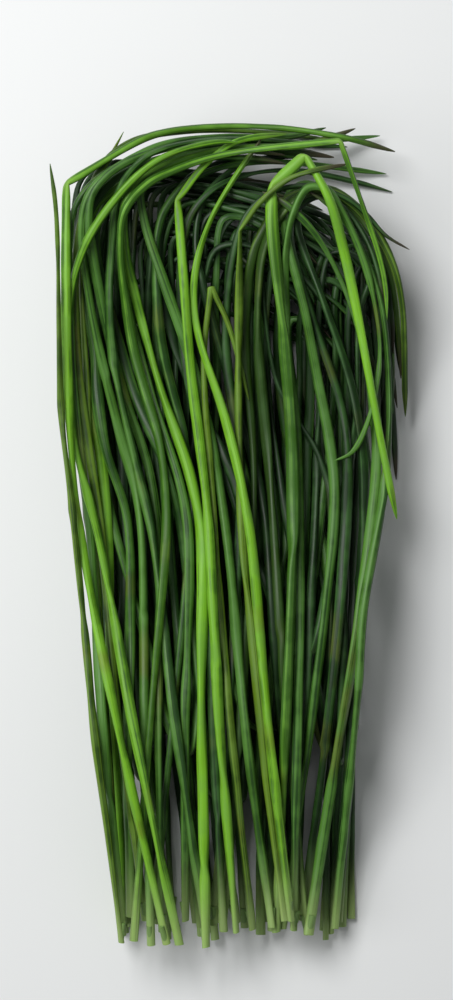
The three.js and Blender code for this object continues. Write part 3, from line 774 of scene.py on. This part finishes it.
def paper_material(name, colour):
    """The floor's paper, even but for a slight mottle."""
    material, g = bare_material(name)
    spot = g.node("ShaderNodeTexCoord", {}, None, "Object")
    mottle = g.node(
        "ShaderNodeTexNoise", {}, {"Vector": spot, "Scale": MOTTLES_PER_METRE, "Detail": 4.0}
    )
    shaded = [part * MOTTLE_SHADE for part in colour[:3]] + [1.0]
    shaded = g.mix(g.fit(mottle, 0.3, 0.7) * MOTTLE_SHARE, colour, shaded)
    surface = g.node("ShaderNodeBsdfPrincipled", {}, {"Base Color": shaded, "Roughness": 0.75})
    g.node("ShaderNodeOutputMaterial", {}, {"Surface": surface})
    return material


# What a user can change

def colour_property(name, description, default):
    return bpy.props.FloatVectorProperty(
        name=name, description=description, default=default, size=3, min=0.0, max=1.0,
        subtype="COLOR",
    )


class ChiveShape(bpy.types.PropertyGroup):
    """Sizes of the skins."""

    top_sides: bpy.props.IntProperty(
        name="Sides of top leaves", description="Sides of a round leaf on top of the bunch",
        default=18, min=6, max=48,
    )
    under_sides: bpy.props.IntProperty(
        name="Sides of under leaves", description="Sides of a round leaf underneath", default=12,
        min=6, max=48,
    )
    top_step: bpy.props.FloatProperty(
        name="Ring spacing on top", description="Distance between the rings of a leaf on top",
        default=1.1 * MM, unit="LENGTH", precision=5,
    )
    under_step: bpy.props.FloatProperty(
        name="Ring spacing underneath",
        description="Distance between the rings of a leaf underneath",
        default=2.0 * MM, unit="LENGTH", precision=5,
    )
    wall: bpy.props.FloatProperty(
        name="Wall", description="Thickness of the leaf's wall as a share of its radius",
        default=0.3, min=0.05, max=0.9, subtype="FACTOR",
    )
    hollow_depth: bpy.props.FloatProperty(
        name="Hollow depth", description="How far the hollow can be looked into at the cut end",
        default=5 * MM, unit="LENGTH", precision=5,
    )
    unevenness: bpy.props.FloatProperty(
        name="Unevenness", description="How much the leaf's thickness wavers", default=0.45,
        min=0.0, max=0.6, subtype="FACTOR",
    )
    ovalness: bpy.props.FloatProperty(
        name="Ovalness", description="How much the leaf is flattened to one side", default=0.42,
        min=0.0, max=0.6, subtype="FACTOR",
    )
    pinch: bpy.props.FloatProperty(
        name="Pinch", description="How flat the leaf is in a sharp fold", default=0.62,
        min=0.0, max=0.9, subtype="FACTOR",
    )
    seed: bpy.props.IntProperty(name="Seed", description="Start of the waver's pattern", default=3)


class ChiveColours(bpy.types.PropertyGroup):
    """Colours of the leaves: each tone's shaded and light colour, which paint its shade and
    highlights, and the colours of its marks.
    """

    # Each tone has a shaded and a light colour, and a leaf's tone moves between them: they paint
    # its shade and highlights as well as its own lighter and darker stretches. The lime's light
    # colour is partly painted light shining through thin leaves.
    bright_dark: colour_property("Lime, shaded", "Darkest lime leaf", (0.035, 0.115, 0.006))
    bright_light: colour_property("Lime, light", "Lightest lime leaf", (0.18, 0.44, 0.016))
    olive_dark: colour_property("Olive, shaded", "Darkest olive leaf", (0.022, 0.06, 0.005))
    olive_light: colour_property("Olive, light", "Lightest olive leaf", (0.13, 0.24, 0.012))
    mid_dark: colour_property("Green, shaded", "Darkest mid green leaf", (0.014, 0.055, 0.007))
    mid_light: colour_property("Green, light", "Lightest mid green leaf", (0.085, 0.23, 0.024))
    # The deep blue-green is partly the leaves' own colour and partly painted shade for leaves lying
    # deep in the bunch.
    deep_dark: colour_property("Deep, shaded", "Darkest blue-green leaf", (0.008, 0.028, 0.006))
    deep_light: colour_property("Deep, light", "Lightest blue-green leaf", (0.03, 0.1, 0.014))
    bloom: colour_property("Bloom", "Thin wax on the leaves", (0.07, 0.16, 0.055))
    # The crease colour: a painted highlight on the skin in a fold.
    crease: colour_property("Crease", "Stretched skin in a fold", (0.22, 0.4, 0.05))
    bruise: colour_property("Bruise", "Patches where a leaf was pressed", (0.14, 0.12, 0.015))
    dry_tip: colour_property("Dry tip", "Dry end of a leaf", (0.05, 0.034, 0.022))
    pale_end: colour_property("Pale end", "Skin and wall near the cut", (0.3, 0.42, 0.14))
    inner_wall: colour_property("Inner wall", "Inside of the hollow leaf", (0.12, 0.22, 0.06))


class ChiveStage(bpy.types.PropertyGroup):
    """Floor, lights and camera."""

    floor_colour: colour_property("Floor", "Colour of the floor", (0.78, 0.79, 0.79))
    main_power: bpy.props.FloatProperty(
        name="Main light", description="Power of the large light above", default=5.4, unit="POWER"
    )
    side_power: bpy.props.FloatProperty(
        name="Side light", description="Power of the light from the left", default=1.4, unit="POWER"
    )
    around_light: bpy.props.FloatProperty(
        name="Light all round", description="Strength of the even light from all sides",
        default=0.23,
    )
    lens: bpy.props.FloatProperty(
        name="Lens", description="Focal length of the camera", default=135.0, min=20.0,
        unit="CAMERA",
    )
    view_height: bpy.props.FloatProperty(
        name="Height of view", description="Length that the picture shows at the bunch's level",
        default=0.25, unit="LENGTH",
    )


class PieceOperator:
    """What the operators that make pieces share."""

    bl_options = {"REGISTER"}
    slots = ()
    shoots = False

    def execute(self, context):
        shape, colours = context.scene.chive_shape, context.scene.chive_colours
        sides = shape.under_sides if self.shoots else shape.top_sides
        step = shape.under_step if self.shoots else shape.top_step
        nodes = [n for n in sorted(frame["nodes"]) if n.startswith("shoot_") == self.shoots]
        for slot in self.slots:
            for node in [n for n in nodes if slot_of(n) == slot]:
                skin_piece(node, shape, sides, step, tone_material(slot, colours))
        return {"FINISHED"}


def tone_material(slot, colours):
    """The finish of a material slot, made once."""
    tone = slot.split("_")[1]
    found = bpy.data.materials.get("chive_" + tone)
    if found:
        return found
    rest = {
        name: (*getattr(colours, name), 1.0)
        for name in ("bloom", "crease", "bruise", "dry_tip", "pale_end", "inner_wall")
    }
    # The tone's shaded and light colours, between which the leaf's own tone and its painted shade
    # and light lie.
    pair = [(*getattr(colours, f"{tone}_{end}"), 1.0) for end in ("dark", "light")]
    return leaf_material("chive_" + tone, *pair, rest)


class CHIVES_OT_bright_leaves(PieceOperator, bpy.types.Operator):
    """Make the lime leaves on top of the bunch"""

    bl_idname = "chives.bright_leaves"
    bl_label = "Lime leaves"
    slots = ("leaf_bright",)


class CHIVES_OT_olive_leaves(PieceOperator, bpy.types.Operator):
    """Make the olive leaves on top of the bunch"""

    bl_idname = "chives.olive_leaves"
    bl_label = "Olive leaves"
    slots = ("leaf_olive",)


class CHIVES_OT_green_leaves(PieceOperator, bpy.types.Operator):
    """Make the mid green and deep green leaves on top of the bunch"""

    bl_idname = "chives.green_leaves"
    bl_label = "Green leaves"
    slots = ("leaf_mid", "leaf_deep")


class CHIVES_OT_under_shoots(PieceOperator, bpy.types.Operator):
    """Make the shoots underneath, each of three or four leaves from one stem"""

    bl_idname = "chives.under_shoots"
    bl_label = "Shoots underneath"
    slots = ("leaf_mid", "leaf_deep")
    shoots = True


def area_light(name, place, power):
    """A round light that shines on the origin."""
    data = bpy.data.lights.new(name, "AREA")
    data.shape, data.size, data.energy = "DISK", LIGHT_SIZE, power
    lamp = bpy.data.objects.new(name, data)
    lamp.location = place
    lamp.rotation_euler = (-Vector(place)).to_track_quat("-Z", "Y").to_euler()
    bpy.context.scene.collection.objects.link(lamp)


class CHIVES_OT_stage(bpy.types.Operator):
    """Make the floor, the soft lights and the camera that looks straight down"""

    bl_idname = "chives.stage"
    bl_label = "Stage"
    bl_options = {"REGISTER"}

    def execute(self, context):
        stage = context.scene.chive_stage
        mesh = bpy.data.meshes.new("floor")
        ways = ((-1, -1), (1, -1), (1, 1), (-1, 1))
        corners = [(x * FLOOR_HALF, y * FLOOR_HALF, 0) for x, y in ways]
        mesh.from_pydata(corners, [], [(0, 1, 2, 3)])
        floor = bpy.data.objects.new("floor", mesh)
        floor.location.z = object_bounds()[0].z
        mesh.materials.append(paper_material("floor_paper", (*stage.floor_colour, 1.0)))
        context.scene.collection.objects.link(floor)
        floor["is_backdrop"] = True
        area_light("light_above", LIGHT_ABOVE, stage.main_power)
        area_light("light_left", LIGHT_LEFT, stage.side_power)
        world = bpy.data.worlds.new("studio")
        world.use_nodes = True
        background = world.node_tree.nodes["Background"]
        background.inputs["Color"].default_value = SKY
        background.inputs["Strength"].default_value = stage.around_light
        context.scene.world = world
        data = bpy.data.cameras.new("camera")
        data.lens = stage.lens
        data.sensor_width = SENSOR_WIDTH
        camera = bpy.data.objects.new("camera", data)
        x, y, level = VIEWED
        camera.location = (x, y, level + stage.view_height * stage.lens / SENSOR_WIDTH)
        context.scene.collection.objects.link(camera)
        context.scene.camera = camera
        context.scene.view_settings.view_transform = "Standard"
        return {"FINISHED"}


class CHIVES_PT_panel(bpy.types.Panel):
    """Lists what the bunch is made of"""

    bl_label = "Chive bunch"
    bl_idname = "CHIVES_PT_panel"
    bl_space_type = "VIEW_3D"
    bl_region_type = "UI"
    bl_category = "Chives"

    def draw(self, context):
        for group in ("chive_shape", "chive_colours", "chive_stage"):
            settings = getattr(context.scene, group)
            box = self.layout.box()
            for name in settings.__annotations__:
                box.prop(settings, name)
        for operator in OPERATORS:
            self.layout.operator(operator.bl_idname)


OPERATORS = (
    CHIVES_OT_bright_leaves,
    CHIVES_OT_olive_leaves,
    CHIVES_OT_green_leaves,
    CHIVES_OT_under_shoots,
    CHIVES_OT_stage,
)
GROUPS = {"chive_shape": ChiveShape, "chive_colours": ChiveColours, "chive_stage": ChiveStage}
CLASSES = (*GROUPS.values(), *OPERATORS, CHIVES_PT_panel)


def register():
    """Registers the classes, and gives the scene its groups of settings."""
    for made in CLASSES:
        bpy.utils.register_class(made)
    for name, group in GROUPS.items():
        setattr(bpy.types.Scene, name, bpy.props.PointerProperty(type=group))


def unregister():
    """Takes back what register did."""
    for name in GROUPS:
        delattr(bpy.types.Scene, name)
    for made in reversed(CLASSES):
        bpy.utils.unregister_class(made)


def main():
    """Makes every piece and the stage."""
    register()
    bpy.ops.chives.bright_leaves()
    bpy.ops.chives.olive_leaves()
    bpy.ops.chives.green_leaves()
    bpy.ops.chives.under_shoots()
    bpy.ops.chives.stage()


if __name__ == "__main__":
    main()
